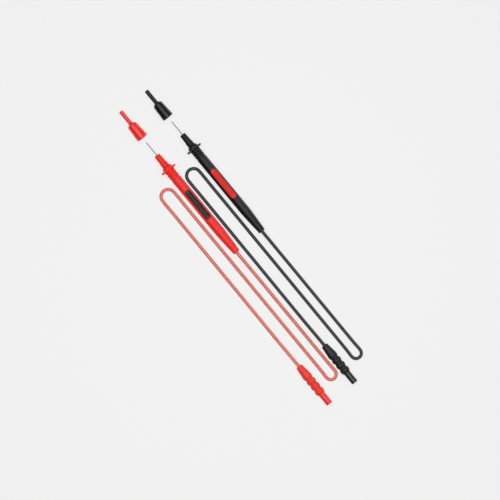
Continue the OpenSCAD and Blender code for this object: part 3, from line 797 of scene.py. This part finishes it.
rubber = {
    colour: grip_rubber(f"{colour} rubber, moulded", rubber_colours[colour],
                        rubber_pale[colour], rubber_roughness[colour])
    for colour in leads}
inward = [pad_half - pad_edge * (1 - math.cos(math.pi / 2 * i / pad_edge_steps))
          for i in range(pad_edge_steps + 1)]
inward += [pad_half - border - groove_end * i / groove_end_steps
           for i in range(groove_end_steps + 1)]
inward += [(pad_half - border - groove_end) * (1 - i / middle_steps)
           for i in range(1, middle_steps + 1)]
spacing = rib_pitch / rib_samples
foot_h = pad_floor + pad_seat
for lead in leads:
    tip = front_middle(f"{lead}_needle")
    pad_x = pad_fronts[lead]
    ribs_from = pad_x + (pad_len - rib_count * rib_pitch) / 2
    rings = [[(x, 0, foot_h) for x, _ in long_pad(pad_x, 0, pad_turn_steps, spacing)],
             [(x, y, foot_h) for x, y in long_pad(pad_x, pad_half, pad_turn_steps, spacing)]]
    for distance in inward:
        rings.append([(x, y, pad_top(x, y, distance, ribs_from))
                      for x, y in long_pad(pad_x, distance, pad_turn_steps, spacing)])
    pad = skin(f"{lead}_pad_inlay", rings, tip, closed=False, crease=pad_crease)
    colour = other_colour[lead]
    dress(pad, rubber[colour])
    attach(pad, f"{lead}_lead")
    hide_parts(f"{lead}_grip_pad")


# ---- Rear bush ----
# A soft PVC bush pressed into the handle's tail. Its flange closes the handle's end and
# its hole eases the cable out.
flange_r = 4.25
spigot_len = 8.0
bush_spigot_r = 3.0

for lead in leads:
    tip = front_middle(f"{lead}_needle")
    flange_x = span(f"{lead}_handle", tip)[1]
    bush_x = span(f"{lead}_rear_bush", tip)[1]
    bush = turned(f"{lead}_bush_moulding", [
        (flange_x - spigot_len, cable_hole_r, 0), (flange_x - spigot_len, bush_spigot_r, 0.2),
        (flange_x, bush_spigot_r, 0), (flange_x, flange_r, 0.15), (bush_x, flange_r, 1.1),
        (bush_x, cable_hole_r, 0.3)], tip)
    dress(bush, vinyl[lead])
    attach(bush, f"{lead}_lead")
    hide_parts(f"{lead}_rear_bush")


# ---- Tip cap ----
# A pull-off ABS cap: a thin closed tube for the needle, and a flared skirt with four
# ribs inside that grip the nose. It lies in line with the needle, taken off.
cap_gloss = {"black": 0.23, "red": 0.4}  # the black cap is duller than the shrouds
tube_r = 2.5
cap_bore_r = 1.2
cap_end_wall = 0.8
shoulder_len = 3.0  # from the tube to the skirt
skirt_len = 19.4
skirt_front_r = 5.9
mouth_r = 7.0
cap_wall = 1.2
rib_w = 0.8
rib_inner_r = 4.55
rib_back = 0.4  # how far a rib stops short of the mouth
rib_root = 0.1  # how far a rib runs into the skirt's closed end


def rib_section(x, outer, turn):
    """Corners of a rib's section at x, from rib_inner_r to outer, turned about the axis."""
    corners = ((-rib_w / 2, rib_inner_r), (rib_w / 2, rib_inner_r),
               (rib_w / 2, outer), (-rib_w / 2, outer))
    return [(x, across * math.cos(turn) - depth * math.sin(turn),
             across * math.sin(turn) + depth * math.cos(turn)) for across, depth in corners]


for lead in leads:
    tip = front_middle(f"{lead}_needle")
    end_x, mouth_x = span(f"{lead}_tip_cap", tip)
    skirt_x = mouth_x - skirt_len
    cap = turned(f"{lead}_cap_moulding", [
        (end_x, 0, 0), (end_x, tube_r, 0.5), (skirt_x - shoulder_len, tube_r, 0.4),
        (skirt_x, skirt_front_r, 1.0), (mouth_x, mouth_r, 0.3),
        (mouth_x, mouth_r - cap_wall, 0.3), (skirt_x, skirt_front_r - cap_wall, 0.3),
        (skirt_x, cap_bore_r, 0.2), (end_x + cap_end_wall, cap_bore_r, 0),
        (end_x + cap_end_wall, 0, 0)], tip)
    for quarter in range(4):
        turn = quarter * math.pi / 2
        ends = [rib_section(skirt_x - rib_root, skirt_front_r - cap_wall / 2, turn),
                rib_section(mouth_x - rib_back, mouth_r - cap_wall / 2, turn)]
        first, last = [tuple(sum(p[k] for p in end) / 4 for k in range(3)) for end in ends]
        rib = skin("rib", [[first] * 4, *ends, [last] * 4], tip, closed=False)
        boolean(cap, rib, "UNION")
    dress(cap, moulded_abs(f"{lead} ABS, thin cap", abs_colours[lead], abs_worn_and_highlit[lead],
                           **{**polished, "gloss": cap_gloss[lead]}))
    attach(cap, f"{lead}_cap")
    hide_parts(f"{lead}_tip_cap")


# ---- Studio ----
# A pale seamless floor under a large soft light overhead, and a lower soft light on the
# far side of the black lead that picks out the facets that face it.
floor_colour = "#F2F2F2"
floor_reach = 60  # metres, so that low views still end on the floor
floor_glow = 0.85  # share of the floor's paleness that doesn't depend on the lamps
room_light = 0.05
overhead_light = {"size": (1.35, 1.3), "place": (0.12, -0.04, 1.1), "aim": (0.12, -0.04, 0),
                  "radiance": 3.0}
side_light = {"size": (2.6, 0.16), "place": (0.12, 1.5, 0.09), "aim": (0.12, 0, 0.06),
              "radiance": 8.0}


def softbox(name, size, place, aim, radiance):
    """A rectangular area lamp of that radiance, hidden from the camera."""
    lamp = bpy.data.lights.new(name, "AREA")
    lamp.shape = "RECTANGLE"
    lamp.size, lamp.size_y = size
    lamp.energy = radiance * math.pi * size[0] * size[1]
    box = bpy.data.objects.new(name, lamp)
    box.location = place
    box.rotation_euler = (Vector(aim) - Vector(place)).to_track_quat("-Z", "Y").to_euler()
    box.visible_camera = False
    bpy.context.scene.collection.objects.link(box)


softbox("overhead softbox", **overhead_light)
softbox("side softbox", **side_light)

paper, tree, surface = new_finish("white paper sweep")
path = add_node(tree, "LightPath", {})
seen = add_node(tree, "Math", {
    0: path.outputs["Is Camera Ray"], 1: path.outputs["Is Glossy Ray"]}, operation="ADD")
seen = add_node(tree, "Math", {
    0: seen.outputs[0], 1: path.outputs["Is Transmission Ray"]}, operation="ADD", use_clamp=True)
share = add_node(tree, "Math", {0: seen.outputs[0], 1: floor_glow}, operation="MULTIPLY")
lit = add_node(tree, "BsdfDiffuse", {"Color": hex_colour(floor_colour)})
glow = add_node(tree, "Emission", {"Color": hex_colour(floor_colour)})
both = add_node(tree, "MixShader", {
    0: share.outputs[0], 1: lit.outputs[0], 2: glow.outputs[0]})
tree.links.new(both.outputs[0], surface)

floor_mesh = bpy.data.meshes.new("floor")
floor_mesh.from_pydata(
    [(sx * floor_reach, sy * floor_reach, 0) for sx, sy in ((-1, -1), (1, -1), (1, 1), (-1, 1))],
    [], [(0, 1, 2, 3)])
floor = bpy.data.objects.new("floor", floor_mesh)
bpy.context.scene.collection.objects.link(floor)
dress(floor, paper)

world = bpy.data.worlds.new("room")
world.use_nodes = True
world.node_tree.nodes.clear()
room = add_node(world.node_tree, "Background", {
    "Color": hex_colour(floor_colour), "Strength": room_light})
add_node(world.node_tree, "OutputWorld", {"Surface": room.outputs[0]})
bpy.context.scene.world = world
